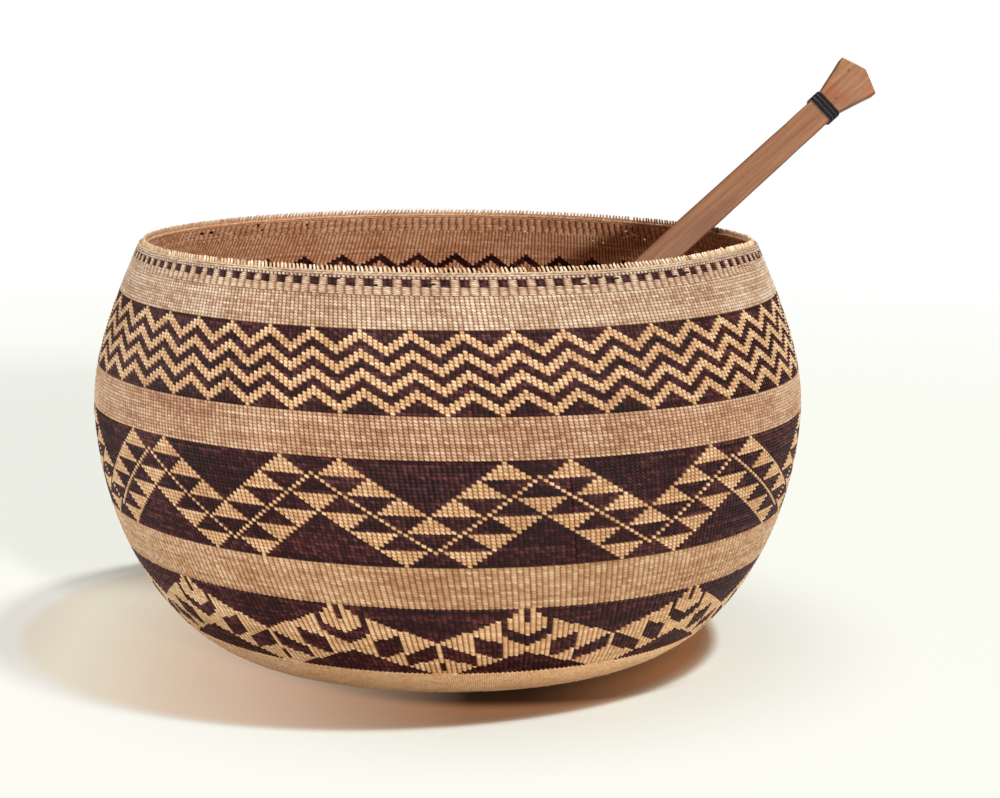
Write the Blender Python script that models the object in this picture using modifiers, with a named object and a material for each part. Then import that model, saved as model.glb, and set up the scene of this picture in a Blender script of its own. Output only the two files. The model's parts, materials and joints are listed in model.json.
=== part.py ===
"""A twined cooking basket with its stirring paddle, in metres, +Z up.

The origin is the centre of the flat underside, on the basket's own axis. The wall is a stack of
woven bands that follow one turned outline, each a ring of its own, closed below by a flat woven
base. The paddle leans on the inner edge of the rim with its blade just clear of the inside wall,
and lifts straight up out of the basket.
"""
import math

import bmesh
import bpy
from mathutils import Matrix, Vector

# Overall sizes of the basket, outside
FOOT_RADIUS = 0.120
BELLY_RADIUS = 0.214
BELLY_HEIGHT = 0.150
RIM_RADIUS = 0.1859
RIM_HEIGHT = 0.2460
LOWER_FULLNESS = 1.85
UPPER_BEND = 0.060

# Wall
WALL = 0.0045
GAP = 0.0003
WARP_TIP_LENGTH = 0.0028
CORD_HEIGHT = 0.00125
RIM_CORDS = ("rim_cord_lower", "rim_cord_upper")

# Flat base
KNOT_RADIUS = 0.022
CENTRE_RADIUS = 0.062
BASE_CORD_WIDTH = 0.006

# Woven bands from the foot up, each with its height in average weft courses and its main fibre
BANDS = (
    ("bottom_plain_band", 30.25, "straw_weft"),
    ("lower_pattern_band", 32.5, "dark_weft"),
    ("third_plain_band", 15.75, "straw_weft"),
    ("middle_pattern_band", 35, "dark_weft"),
    ("second_plain_band", 14.75, "straw_weft"),
    ("zigzag_band", 27, "dark_weft"),
    ("upper_plain_band", 10.75, "straw_weft"),
    ("check_lower_course", 2.75, "pale_cord"),
    ("check_band", 3.25, "dark_weft"),
)

# Paddle
PADDLE_LENGTH = 0.5363
SHAFT_WIDTH = 0.0187
SHAFT_THICKNESS = 0.0095
NECK_WIDTH = 0.0180
NECK_THICKNESS = 0.0086
BLADE_WIDTH = 0.074
BLADE_LENGTH = 0.190
BLADE_SHOULDER = 0.055
BLADE_THICKNESS = 0.0070
# The blade from its end up: share of its length, of its width and of its thickness
BLADE_OUTLINE = (
    (0.0, 0.62, 0.45),
    (0.03, 0.83, 0.58),
    (0.10, 0.96, 0.68),
    (0.26, 1.0, 0.80),
    (0.70, 0.98, 1.0),
    (1.0, 0.84, 1.0),
)
# The narrowing from blade to shaft: share of the shoulder's length and of the narrowing
SHOULDER_OUTLINE = (
    (0.4, 0.42),
    (0.75, 0.88),
    (1.0, 1.0),
)
POMMEL_WIDTH = 0.0318
POMMEL_THICKNESS = 0.0108
POMMEL_LENGTH = 0.0279
POMMEL_GABLE = 0.0061
POMMEL_APEX_WIDTH = 0.003
RING_COUNT = 3
RING_WIDTH = 0.0027
RING_THICKNESS = 0.0011
NECK_END = PADDLE_LENGTH - POMMEL_LENGTH - POMMEL_GABLE

# How the paddle stands in the basket
LEAN_AZIMUTH = math.radians(26.35)
REST_AZIMUTH = math.radians(21.79)
LEAN_ELEVATION = math.radians(37.0)
FACE_ROLL = math.radians(64.0)
REST_CLEARANCE = 0.0005
BLADE_CLEARANCE = GAP

# Fineness of the meshes
TURN_STEPS = 48
OUTLINE_STEPS = 400
COURSES_PER_FACET = 9
SECTION_POINTS = 16
SECTION_POWER = 4.0
SEARCH_STEPS = 30
SMOOTH_ANGLE = math.radians(35.0)
MERGE = 0.00005

# Colour and roughness of each material
MATERIALS = {
    "root_weft": ((0.42, 0.27, 0.17), 0.8),
    "straw_weft": ((0.66, 0.50, 0.34), 0.75),
    "dark_weft": ((0.10, 0.045, 0.05), 0.65),
    "pale_cord": ((0.62, 0.52, 0.42), 0.8),
    "warp_rods": ((0.70, 0.55, 0.34), 0.8),
    "paddle_wood": ((0.48, 0.25, 0.13), 0.6),
    "black_lashing": ((0.02, 0.02, 0.024), 0.4),
}


def clear_scene():
    for item in list(bpy.data.objects):
        bpy.data.objects.remove(item, do_unlink=True)


def new_collection(name):
    group = bpy.data.collections.new(name)
    bpy.context.scene.collection.children.link(group)
    return group


def new_material(name, colour, roughness):
    material = bpy.data.materials.new(name)
    material.use_nodes = True
    shader = material.node_tree.nodes["Principled BSDF"]
    shader.inputs["Base Color"].default_value = (*colour, 1.0)
    shader.inputs["Roughness"].default_value = roughness
    shader.inputs["Metallic"].default_value = 0.0
    return material


# The turned outline of the wall


def lower_radius(height):
    """Outside radius between the foot and the belly, a flattened oval quarter."""
    rise = (BELLY_HEIGHT - height) / BELLY_HEIGHT
    bulge = (1.0 - rise ** LOWER_FULLNESS) ** (1.0 / LOWER_FULLNESS)
    return FOOT_RADIUS + (BELLY_RADIUS - FOOT_RADIUS) * bulge


def upper_radius(height):
    """Outside radius above the belly, a bend that runs out into a straight slope."""
    slope = (BELLY_RADIUS - RIM_RADIUS) / (math.hypot(RIM_HEIGHT - BELLY_HEIGHT, UPPER_BEND) - UPPER_BEND)
    return BELLY_RADIUS - slope * (math.hypot(height - BELLY_HEIGHT, UPPER_BEND) - UPPER_BEND)


def wall_outline():
    """Points (radius, height) of the outside, from the foot to the ends of the warps."""
    points = []
    for step in range(OUTLINE_STEPS):
        height = BELLY_HEIGHT * (step / OUTLINE_STEPS) ** 2
        points.append(Vector((lower_radius(height), height)))
    top = RIM_HEIGHT + WARP_TIP_LENGTH
    for step in range(OUTLINE_STEPS + 1):
        height = BELLY_HEIGHT + (top - BELLY_HEIGHT) * step / OUTLINE_STEPS
        points.append(Vector((upper_radius(height), height)))
    return points


OUTLINE = wall_outline()


def outline_arcs():
    arcs = [0.0]
    for before, after in zip(OUTLINE, OUTLINE[1:]):
        arcs.append(arcs[-1] + (after - before).length)
    return arcs


ARCS = outline_arcs()


def arc_at_height(height):
    for index in range(1, len(OUTLINE)):
        if OUTLINE[index].y >= height:
            span = OUTLINE[index].y - OUTLINE[index - 1].y
            share = (height - OUTLINE[index - 1].y) / span
            return ARCS[index - 1] + share * (ARCS[index] - ARCS[index - 1])
    return ARCS[-1]


def wall_point(arc):
    """Outside point and inward normal at an arc length measured from the foot."""
    index = 1
    while index < len(ARCS) - 1 and ARCS[index] < arc:
        index += 1
    before = OUTLINE[index - 1]
    after = OUTLINE[index]
    share = (arc - ARCS[index - 1]) / (ARCS[index] - ARCS[index - 1])
    along = (after - before).normalized()
    return before.lerp(after, share), Vector((-along.y, along.x))


# Turned pieces


def turned_piece(name, profile, closed, material, group):
    """A profile of (radius, height) points, turned about the basket's axis."""
    mesh = bpy.data.meshes.new(name)
    edges = [(index, index + 1) for index in range(len(profile) - 1)]
    if closed:
        edges.append((len(profile) - 1, 0))
    mesh.from_pydata([(point[0], 0.0, point[1]) for point in profile], edges, [])
    piece = bpy.data.objects.new(name, mesh)
    group.objects.link(piece)
    screw = piece.modifiers.new("Turn", "SCREW")
    screw.axis = "Z"
    screw.angle = math.tau
    screw.steps = TURN_STEPS
    screw.render_steps = TURN_STEPS
    screw.use_merge_vertices = True
    screw.merge_threshold = MERGE
    screw.use_smooth_shade = True
    mesh.materials.append(material)
    return piece


def wall_spans():
    """Name, lower and upper arc length, number of facets and fibre of each ring, from the foot up."""
    cloth_end = arc_at_height(RIM_HEIGHT) - len(RIM_CORDS) * CORD_HEIGHT
    course = cloth_end / sum(courses for name, courses, fibre in BANDS)
    spans = []
    arc = 0.0
    for name, courses, fibre in BANDS:
        facets = max(1, round(courses / COURSES_PER_FACET))
        spans.append((name, arc, arc + courses * course, facets, fibre))
        arc += courses * course
    for name in RIM_CORDS:
        spans.append((name, arc, arc + CORD_HEIGHT, 1, "pale_cord"))
        arc += CORD_HEIGHT
    spans.append(("warp_tips", arc, ARCS[-1], 1, "warp_rods"))
    return spans


WALL_SPANS = wall_spans()


def facet_corners(low_arc, high_arc, facets):
    """Outside and inside corners of a ring's profile from the top down, half the gap off each end."""
    low = low_arc + GAP / 2.0
    high = high_arc - GAP / 2.0
    outside = []
    inside = []
    for row in range(facets + 1):
        point, inward = wall_point(high + (low - high) * row / facets)
        outside.append(point)
        inside.append(point + inward * WALL)
    return outside, inside


def inside_facets():
    """A corner and the inward normal of every facet inside the wall, in profile."""
    planes = []
    for name, low, high, facets, fibre in WALL_SPANS:
        outside, inside = facet_corners(low, high, facets)
        for upper, lower in zip(inside, inside[1:]):
            down = (lower - upper).normalized()
            planes.append((upper, Vector((down.y, -down.x))))
    return planes


INSIDE_FACETS = inside_facets()


def base_ring(name, inner_radius, outer_radius, material, group):
    """One ring of the flat base, or the round knot in its middle."""
    outer = outer_radius - GAP / 2.0
    if inner_radius == 0.0:
        profile = [(0.0, WALL), (outer, WALL), (outer, 0.0), (0.0, 0.0)]
        return turned_piece(name, profile, False, material, group)
    inner = inner_radius + GAP / 2.0
    profile = [(outer, WALL), (outer, 0.0), (inner, 0.0), (inner, WALL)]
    return turned_piece(name, profile, True, material, group)


def build_base(materials, group):
    cord_end = CENTRE_RADIUS + BASE_CORD_WIDTH
    base_ring("base_start_knot", 0.0, KNOT_RADIUS, materials["root_weft"], group)
    base_ring("base_centre_courses", KNOT_RADIUS, CENTRE_RADIUS, materials["straw_weft"], group)
    base_ring("base_cord_course", CENTRE_RADIUS, cord_end, materials["pale_cord"], group)
    base_ring("base_outer_courses", cord_end, FOOT_RADIUS, materials["straw_weft"], group)


def build_wall(materials, group):
    for name, low, high, facets, fibre in WALL_SPANS:
        outside, inside = facet_corners(low, high, facets)
        turned_piece(name, outside + inside[::-1], True, materials[fibre], group)


# The paddle, along its own X from the blade's end to the pommel, with its width along Y


def oval_section(along, half_width, half_thickness):
    """A rounded rectangle across the paddle, as points in order round it."""
    points = []
    for index in range(SECTION_POINTS):
        turn = math.tau * (index + 0.5) / SECTION_POINTS
        across = math.copysign(abs(math.cos(turn)) ** (2.0 / SECTION_POWER), math.cos(turn))
        up = math.copysign(abs(math.sin(turn)) ** (2.0 / SECTION_POWER), math.sin(turn))
        points.append(Vector((along, half_width * across, half_thickness * up)))
    return points


def blade_stations():
    """Places along the blade, from its end, with its width and thickness there."""
    return [
        (place * BLADE_LENGTH, width * BLADE_WIDTH, thickness * BLADE_THICKNESS)
        for place, width, thickness in BLADE_OUTLINE
    ]


def shaft_stations():
    """Places from the blade's shoulder to the pommel's end, with the width and thickness there."""
    start_width = BLADE_OUTLINE[-1][1] * BLADE_WIDTH
    stations = []
    for place, narrowing in SHOULDER_OUTLINE:
        width = start_width + narrowing * (SHAFT_WIDTH - start_width)
        thickness = BLADE_THICKNESS + narrowing * (SHAFT_THICKNESS - BLADE_THICKNESS)
        stations.append((BLADE_LENGTH + place * BLADE_SHOULDER, width, thickness))
    rings_start = NECK_END - RING_COUNT * (RING_WIDTH + GAP) - GAP
    stations.append(((stations[-1][0] + rings_start) / 2.0, SHAFT_WIDTH, SHAFT_THICKNESS))
    stations.append((rings_start, NECK_WIDTH, NECK_THICKNESS))
    stations.append((NECK_END, NECK_WIDTH, NECK_THICKNESS))
    stations.append((PADDLE_LENGTH - POMMEL_GABLE, POMMEL_WIDTH, POMMEL_THICKNESS))
    stations.append((PADDLE_LENGTH, POMMEL_APEX_WIDTH, POMMEL_THICKNESS))
    return stations


def lean_axes():
    """The paddle's own X, Y and Z in the basket's frame."""
    along = Vector((
        math.cos(LEAN_AZIMUTH) * math.cos(LEAN_ELEVATION),
        math.sin(LEAN_AZIMUTH) * math.cos(LEAN_ELEVATION),
        math.sin(LEAN_ELEVATION),
    ))
    upward = (Vector((0.0, 0.0, 1.0)) - along * along.z).normalized()
    sideways = along.cross(upward)
    face = upward * math.cos(FACE_ROLL) + sideways * math.sin(FACE_ROLL)
    return along, face.cross(along), face, upward


def inside_clearance(point):
    """Distance from a point to the nearest facet inside the wall or base, negative past it."""
    facet = math.tau / TURN_STEPS
    off_middle = math.atan2(point.y, point.x) % facet - facet / 2.0
    radius = math.hypot(point.x, point.y) * math.cos(off_middle) / math.cos(facet / 2.0)
    spot = Vector((radius, point.z))
    nearest = min((spot - corner).dot(inward) for corner, inward in INSIDE_FACETS)
    return min(nearest, point.z - WALL)


def rim_centre():
    """Centre of the shaft where it lies on the inner edge of the rim."""
    along, width, face, upward = lean_axes()
    edge_radius = RIM_RADIUS - WALL
    top = RIM_HEIGHT + WARP_TIP_LENGTH
    section = oval_section(0.0, SHAFT_WIDTH / 2.0, SHAFT_THICKNESS / 2.0)
    support = max(-(width * point.y + face * point.z).dot(upward) for point in section)
    edge = Vector((edge_radius * math.cos(REST_AZIMUTH), edge_radius * math.sin(REST_AZIMUTH), top))
    return edge + upward * (support + REST_CLEARANCE)


def blade_clears(reach):
    """Whether the blade keeps off the inside when it reaches this far down from the rim."""
    along, width, face, upward = lean_axes()
    centre = rim_centre()
    for place, wide, thick in blade_stations():
        for point in oval_section(place - reach, wide / 2.0, thick / 2.0):
            spot = centre + along * point.x + width * point.y + face * point.z
            if inside_clearance(spot) < BLADE_CLEARANCE:
                return False
    return True


def blade_reach():
    """Length from the rim down to the blade's end, found by halving the span it lies in."""
    short = BLADE_LENGTH
    long = 2.0 * (BELLY_RADIUS + RIM_HEIGHT)
    for step in range(SEARCH_STEPS):
        reach = (short + long) / 2.0
        if blade_clears(reach):
            short = reach
        else:
            long = reach
    return short


def loft(name, loops, capped, material, group, seat):
    """A closed skin over loops of equally many points; without caps it closes on itself."""
    shape = bmesh.new()
    rings = [[shape.verts.new(point) for point in loop] for loop in loops]
    pairs = list(zip(rings, rings[1:]))
    if not capped:
        pairs.append((rings[-1], rings[0]))
    for first, second in pairs:
        for index in range(len(first)):
            after = (index + 1) % len(first)
            shape.faces.new((first[index], first[after], second[after], second[index]))
    if capped:
        shape.faces.new(rings[0][::-1])
        shape.faces.new(rings[-1])
    bmesh.ops.recalc_face_normals(shape, faces=shape.faces)
    mesh = bpy.data.meshes.new(name)
    shape.to_mesh(mesh)
    shape.free()
    mesh.shade_smooth()
    mesh.set_sharp_from_angle(angle=SMOOTH_ANGLE)
    mesh.materials.append(material)
    piece = bpy.data.objects.new(name, mesh)
    group.objects.link(piece)
    piece.parent = seat
    return piece


def build_paddle(materials, group):
    along, width, face, upward = lean_axes()
    seat = bpy.data.objects.new("paddle_seat", None)
    group.objects.link(seat)
    turn = Matrix((along, width, face)).transposed().to_4x4()
    seat.matrix_world = Matrix.Translation(rim_centre() - along * blade_reach()) @ turn
    stations = blade_stations() + shaft_stations()
    loops = [oval_section(place, wide / 2.0, thick / 2.0) for place, wide, thick in stations]
    loft("paddle", loops, True, materials["paddle_wood"], group, seat)
    for number in range(RING_COUNT):
        high = NECK_END - GAP - number * (RING_WIDTH + GAP)
        low = high - RING_WIDTH
        inner = (NECK_WIDTH / 2.0 + GAP, NECK_THICKNESS / 2.0 + GAP)
        outer = (inner[0] + RING_THICKNESS, inner[1] + RING_THICKNESS)
        turns = [
            oval_section(low, *inner),
            oval_section(low, *outer),
            oval_section(high, *outer),
            oval_section(high, *inner),
        ]
        loft("neck_ring_%d" % (number + 1), turns, False, materials["black_lashing"], group, seat)


def build():
    clear_scene()
    group = new_collection("cooking_basket")
    materials = {name: new_material(name, *look) for name, look in MATERIALS.items()}
    build_base(materials, group)
    build_wall(materials, group)
    build_paddle(materials, group)
    bpy.context.view_layer.update()


build()
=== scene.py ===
import json
import math

import bpy
import numpy as np
from mathutils import Matrix, Vector

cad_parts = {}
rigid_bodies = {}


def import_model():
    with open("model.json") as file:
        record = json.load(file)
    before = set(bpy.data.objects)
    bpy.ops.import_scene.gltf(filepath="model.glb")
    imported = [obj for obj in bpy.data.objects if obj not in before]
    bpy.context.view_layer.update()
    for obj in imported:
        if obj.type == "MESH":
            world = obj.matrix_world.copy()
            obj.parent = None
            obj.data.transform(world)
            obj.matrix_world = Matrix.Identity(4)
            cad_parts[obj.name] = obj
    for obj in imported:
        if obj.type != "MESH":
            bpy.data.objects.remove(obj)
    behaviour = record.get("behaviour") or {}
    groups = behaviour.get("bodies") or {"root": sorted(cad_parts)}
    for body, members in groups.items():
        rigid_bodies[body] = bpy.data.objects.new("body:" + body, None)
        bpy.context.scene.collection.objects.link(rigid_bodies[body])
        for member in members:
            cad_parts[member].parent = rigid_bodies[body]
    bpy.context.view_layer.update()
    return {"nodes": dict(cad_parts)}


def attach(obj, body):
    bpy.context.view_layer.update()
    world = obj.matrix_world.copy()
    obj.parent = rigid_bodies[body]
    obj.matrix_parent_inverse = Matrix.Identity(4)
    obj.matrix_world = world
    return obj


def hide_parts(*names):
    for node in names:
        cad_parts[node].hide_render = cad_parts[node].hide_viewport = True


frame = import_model()

# Outline of the wall, as in the CAD model
FOOT_RADIUS = 0.120
BELLY_RADIUS = 0.214
BELLY_HEIGHT = 0.150
RIM_RADIUS = 0.1859
RIM_HEIGHT = 0.2460
LOWER_FULLNESS = 1.85
UPPER_BEND = 0.060
WALL = 0.0045
CORD_HEIGHT = 0.00125
WARP_TIP_LENGTH = 0.0028
OUTLINE_STEPS = 400
OUTLINE_OVERRUN = 0.012

# Base rings, as in the CAD model
KNOT_RADIUS = 0.022
CENTRE_RADIUS = 0.062
BASE_CORD_WIDTH = 0.006
KNOT_WARP_PITCH = 0.0044
KNOT_COURSE_PITCH = 0.0024
KNOT_RELIEF = 0.0011
KNOT_STEPS = 177

# Rim: cords of two strands, the cut ends of the warps, and what fills the wall between them
WARP_COUNT = 464
WARP_RADIUS = 0.00072
CORD_THICKNESS = 0.0016
CORD_STEPS = 6
CORD_BEADS = 2
CORD_TALL = 1.04 * CORD_HEIGHT
CORD_RELIEF = 0.22
CORD_PROUD = 0.00005
UNEVEN_CORD = 0.00008
CORD_LOOSENESS = 0.25
CORD_ROUNDNESS = 0.8
ROUND_STEPS = 10
TIP_TAPER = (1.0, 1.0, 1.0, 0.98, 0.90)
UNEVEN_TIP = 0.00012
TIP_LEAN = 0.36
BROKEN_TIPS = 0.02
BROKEN_OFF = (0.0006, 0.0016)
MISSING_TIPS = 0.005
FILLING_STEPS = 3
FILLING_ROWS = 9
FILLING_INSET = 0.0004
FILLING_DEPTH = 0.0006
FILLING_RISE = 0.0007
LOOSE_ENDS = 74
LOOSE_END_RINGS = 9
LOOSE_END_RADIUS = 0.00040
# Painted shade on the warp tips where they lie in shade: angle, half width and how much darker
SHADED_TIPS = (
    (128.0, 26.0, 0.90),
    (245.0, 36.0, 0.65),
)

# Paddle, as in the CAD model: sizes, and width and thickness along it as shares
PADDLE_LENGTH = 0.5363
SHAFT_WIDTH = 0.0187
SHAFT_THICKNESS = 0.0095
NECK_WIDTH = 0.0180
NECK_THICKNESS = 0.0086
BLADE_WIDTH = 0.074
BLADE_LENGTH = 0.190
BLADE_SHOULDER = 0.055
BLADE_THICKNESS = 0.0070
BLADE_OUTLINE = (
    (0.00, 0.62, 0.45),
    (0.03, 0.83, 0.58),
    (0.10, 0.96, 0.68),
    (0.26, 1.00, 0.80),
    (0.70, 0.98, 1.00),
    (1.00, 0.84, 1.00),
)
SHOULDER_OUTLINE = (
    (0.40, 0.42),
    (0.75, 0.88),
    (1.00, 1.00),
)
POMMEL_WIDTH = 0.0318
POMMEL_THICKNESS = 0.0108
POMMEL_LENGTH = 0.0279
POMMEL_GABLE = 0.0061
POMMEL_APEX_WIDTH = 0.003
RING_COUNT = 3
RING_WIDTH = 0.0027
RING_THICKNESS = 0.0011
GAP = 0.0003
NECK_END = PADDLE_LENGTH - POMMEL_LENGTH - POMMEL_GABLE
SHOULDER_END = BLADE_LENGTH + BLADE_SHOULDER
LEAN_ELEVATION = math.radians(37.0)
LEAN_AZIMUTH = math.radians(26.35)
FACE_ROLL = math.radians(64.0)

# Height of each band in average weft courses, from the foot up
COURSES = {
    "bottom_plain_band": 30.25,
    "lower_pattern_band": 32.5,
    "third_plain_band": 15.75,
    "middle_pattern_band": 35,
    "second_plain_band": 14.75,
    "zigzag_band": 27,
    "upper_plain_band": 10.75,
    "check_lower_course": 2.75,
    "check_band": 3.25,
}

# How the levels of the bands wander: node whose top it is, mean rise, rise at the left, turn of it
LEVEL_WAVES = (
    ("bottom_plain_band", -0.0001, 0.00125, 15.0),
    ("lower_pattern_band", -0.0002, 0.0026, 15.0),
    ("third_plain_band", 0.0021, 0.0031, 70.0),
    ("middle_pattern_band", 0.0008, 0.0009, 10.0),
    ("second_plain_band", -0.0007, 0.0017, 5.0),
    ("zigzag_band", 0.0010, 0.0019, 90.0),
    ("check_band", 0.0, 0.0, 0.0),
)
# Places where a band's top stands higher: node, angle, rise and half width
LEVEL_RISES = (
    ("bottom_plain_band", -62.0, 0.0022, 18.0),
    ("check_band", 62.0, 0.0031, 15.0),
    ("check_band", 180.0, 0.0024, 40.0),
)

# Stitch columns round the bands, and where the first lies, in degrees right of the front
ZIGZAG_COLUMNS = 460
MIDDLE_COLUMNS = 462
WARP_TURN = 2.0
ZIGZAG_TURN = 1.9
LOWER_TURN = 12.6
BASE_TURN = 3.0
# The middle band's first column, how much its columns widen on one side, and the turn of that side
MIDDLE_WARP = (17.4, 5.35, 5.0)
# How far the warps have leaned at the foot, at the middle band's foot and top, and at the rim, in degrees
WARP_LEAN = (12.4, 6.8, 4.2, 0.0)

# Wefts: the row of beads, how far crowns stand out, the turned-in hem, and how tones and checks vary
CHECK_BEAD = 0.0015
OUTER_CROWN = 0.00015
HEM = 0.0012
STRAND_SHARE = 0.40
ROW_TONE = 0.12
RAGGED_CHECKS = 0.10
DARK_SPECKS = 0.012
TINY = 1e-6

# Maps: size of the weft's fibres, and how pieces lie on the baking map
MEAN_RADIUS = 0.2
FIBRE_PER_DEGREE = 0.0035
FIBRE_PER_WARP = 0.0025
MAP_MARGIN = 0.01
ROD_MAP_EDGE = 0.05
ROD_MAP_WIDTH = 0.9
ROD_MAP_HEIGHT = 0.62
ROD_MAP_END = (0.5, 0.84)
ROD_MAP_END_RADIUS = 0.11
RING_ROUND = 0.060
RING_OVER = 0.0065

# Wood of the paddle, its knots and redder places: distance from the pommel's point, place across, radius
WOOD = ((0.185, 0.074, 0.030), (0.262, 0.112, 0.049), (0.33, 0.158, 0.074))
WOOD_BROAD = ((0.86, 0.82, 0.78), (1.0, 1.0, 1.0), (1.06, 1.06, 1.06))
WOOD_PORES = ((0.76, 0.68, 0.62), (1.0, 1.0, 1.0))
WOOD_EDGE = (0.50, 0.40, 0.36)
POMMEL_PALER = (1.32, 1.44, 1.55)
# Painted highlight along the edges of the black band
RING_HIGHLIGHT = (0.17, 0.13, 0.13)
WOOD_KNOT = (0.13, 0.045, 0.02)
WOOD_KNOTS = (
    (0.0096, 0.0069, 0.0016),
    (0.0293, -0.0010, 0.0014),
    (0.0110, -0.0084, 0.0007),
    (0.0700, 0.0082, 0.0010),
    (0.0920, -0.0086, 0.0009),
)
WOOD_BLUSH = (1.06, 0.78, 0.68)
WOOD_BLUSHES = (
    (0.0300, 0.0045, 0.0085),
    (0.0275, -0.0040, 0.0060),
    (0.0090, -0.0130, 0.0060),
)
PADDLE_POINTS = 40
DARK_SIDE_REACH = 0.0011
RING_POINTS = 40
RING_EDGE = 0.0017
RING_SPIRAL = 0.00012
ROUND_SHARE = 0.6
# Rounding of the paddle's edges and swell of its faces, at the blade's end, its shoulder and the shaft
EDGE_ROUNDING = (0.0026, 0.0030, 0.0017)
FACE_SWELL = (0.0004, 0.0004, 0.00012)
UNEVEN_WIDTH = 0.00010
UNEVEN_FACE = 0.00006

# Each kind of weft: its colours from dark to pale, the painted shade of its gaps, and how far up the
# stitches that painted shade reaches
PAINTED_GAP_SHADE = (0.42, 0.24, 0.15)
PAINTED_SHADE_REACH = 0.62
PALE_WEFT = ((0.58, 0.37, 0.20), (0.77, 0.545, 0.32), (0.94, 0.78, 0.53))
PLAIN_WEFT = ((0.44, 0.27, 0.17), (0.66, 0.525, 0.39), (0.84, 0.78, 0.66))
CORD_WEFT = ((0.42, 0.28, 0.18), (0.62, 0.48, 0.35), (0.82, 0.72, 0.56))
WEFTS = {
    "pattern_weft": (PALE_WEFT,),
    "low_pattern_weft": (PALE_WEFT,),
    "plain_weft": (PLAIN_WEFT,),
    "check_weft": (PLAIN_WEFT,),
    # In the bead row the gap colour is partly the dots' own dark red between the beads, partly painted shade
    "check_bead_weft": (PLAIN_WEFT, (0.16, 0.04, 0.035), 0.85),
    "second_weft": (((0.40, 0.22, 0.13), (0.61, 0.425, 0.285), (0.80, 0.65, 0.49)),),
    "low_plain_weft": (((0.40, 0.23, 0.13), (0.58, 0.39, 0.235), (0.76, 0.62, 0.45)), (0.52, 0.36, 0.25)),
    "bottom_weft": (((0.76, 0.50, 0.28), (0.95, 0.71, 0.46), (1.0, 0.88, 0.66)), (0.78, 0.60, 0.46)),
    "inner_weft": (((0.54, 0.25, 0.135), (0.73, 0.40, 0.23), (0.92, 0.62, 0.42)),),
    "rim_cord_weft": (CORD_WEFT, (0.46, 0.29, 0.21)),
    "base_cord_weft": (CORD_WEFT,),
    "base_weft": (((0.34, 0.18, 0.09), (0.48, 0.28, 0.15), (0.62, 0.40, 0.23)),),
    "start_knot_weft": (((0.36, 0.17, 0.09), (0.56, 0.31, 0.18), (0.78, 0.52, 0.34)),),
}
# Other fibres, dark to pale
DARK_WEFT = ((0.011, 0.002, 0.003), (0.041, 0.007, 0.010), (0.135, 0.044, 0.050))
TIP_FIBRE = ((0.34, 0.17, 0.08), (0.72, 0.50, 0.30), (0.96, 0.86, 0.68))
TIP_HEART = (0.90, 0.80, 0.62)
BLACK_FIBRE = ((0.003, 0.004, 0.005), (0.007, 0.008, 0.010), (0.018, 0.020, 0.024))
WEFT_STREAKS = ((0.78, 0.74, 0.72), (1.0, 1.0, 1.0), (1.10, 1.10, 1.10))
TIP_SHADE = (0.45, 0.30, 0.20)

# Camera
CAMERA_PLACE = (0.0, -1.35, 0.371)
CAMERA_LENS = 80.28
CAMERA_SENSOR = 36.0
CAMERA_PITCH = math.radians(9.37)
CAMERA_YAW = math.radians(1.33)
CAMERA_ROLL = math.radians(0.40)

# Suns: azimuth right of the front, elevation, strength as a share of white, softness, colour
SUNS = (
    ("low_key", 25.0, 12.5, 0.62, 5.0, (1.0, 0.97, 0.92)),
    ("high_key", 71.0, 66.8, 0.28, 3.0, (1.0, 0.98, 0.95)),
    ("high_key_right", 74.5, 64.3, 0.28, 3.5, (1.0, 0.98, 0.95)),
    ("left_fill", -75.0, 25.0, 0.68, 30.0, (1.0, 0.98, 0.95)),
)
FILL = "left_fill"

# Floor and surroundings
WHITE = (1.0, 1.0, 1.0)
AMBIENT = 0.20
AMBIENT_COLOUR = (1.0, 0.84, 0.70)
FLOOR_SIZE = 40.0
FLOOR_DROP = -0.0002
FLOOR_BOUNCE = (0.92, 0.78, 0.60)
FLOOR_PAPER = (0.90, 0.96, 0.93)
FLOOR_GLOW_COLOUR = (0.95, 1.0, 0.94)
FLOOR_GLOW = (0.0, 0.21)
FLOOR_GLOW_REACH = (0.15, 0.30)
FLOOR_FADE = (0.9, 2.2)
# Painted shadow on the floor: a brown core and painted shade deeper close round the foot, with painted fill
# light that makes it paler to the left and not so behind
SHADOW_CORE = (-0.05, 0.020, 0.0)
SHADOW_CORE_REACH = (0.207, 0.224)
SHADOW_CORE_PAPER = (0.62, 0.38, 0.235)
FOOT_SHADE = (0.025, -0.010, 0.0)
FOOT_SHADE_REACH = (0.131, 0.152)
FOOT_SHADE_RIGHT = (0.035, 0.155)
FOOT_SHADE_DEPTH = 0.12
# Painted fill light over the shadow's left: its share along the floor, its colours, and how it fades behind
PALE_SIDE = ((-0.36, 0.15), (-0.23, 0.67), (-0.18, 0.62), (-0.118, 0.50), (-0.087, 0.40), (-0.03, 0.17),
             (0.012, 0.0))
PALE_SIDE_COLOUR = (1.0, 0.97, 0.90)
WARM_SIDE = ((-0.36, (1.0, 0.95, 0.80)), (-0.215, (1.0, 0.93, 0.75)), (-0.148, (1.0, 0.80, 0.61)),
             (-0.03, (1.0, 0.68, 0.47)), (0.012, (1.0, 0.66, 0.45)))
PALE_SIDE_BACK = (0.08, 0.20)


# Looks


def look(rib_depth, bead_depth, slant, strand=24, **more):
    """Relief of a weft, length of its strands, quads in a stitch, warps to a rib and how uneven it is."""
    values = {"across": 4, "down": 3, "every": 1, "uneven": 0.00005, "wander": 0.06, "rib_power": 0.6,
              "bead_power": 0.5, "row_light": 0.38, "crown": OUTER_CROWN, **more}
    values.update(rib_depth=rib_depth, bead_depth=bead_depth, slant=slant, strand=strand)
    return values


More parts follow.
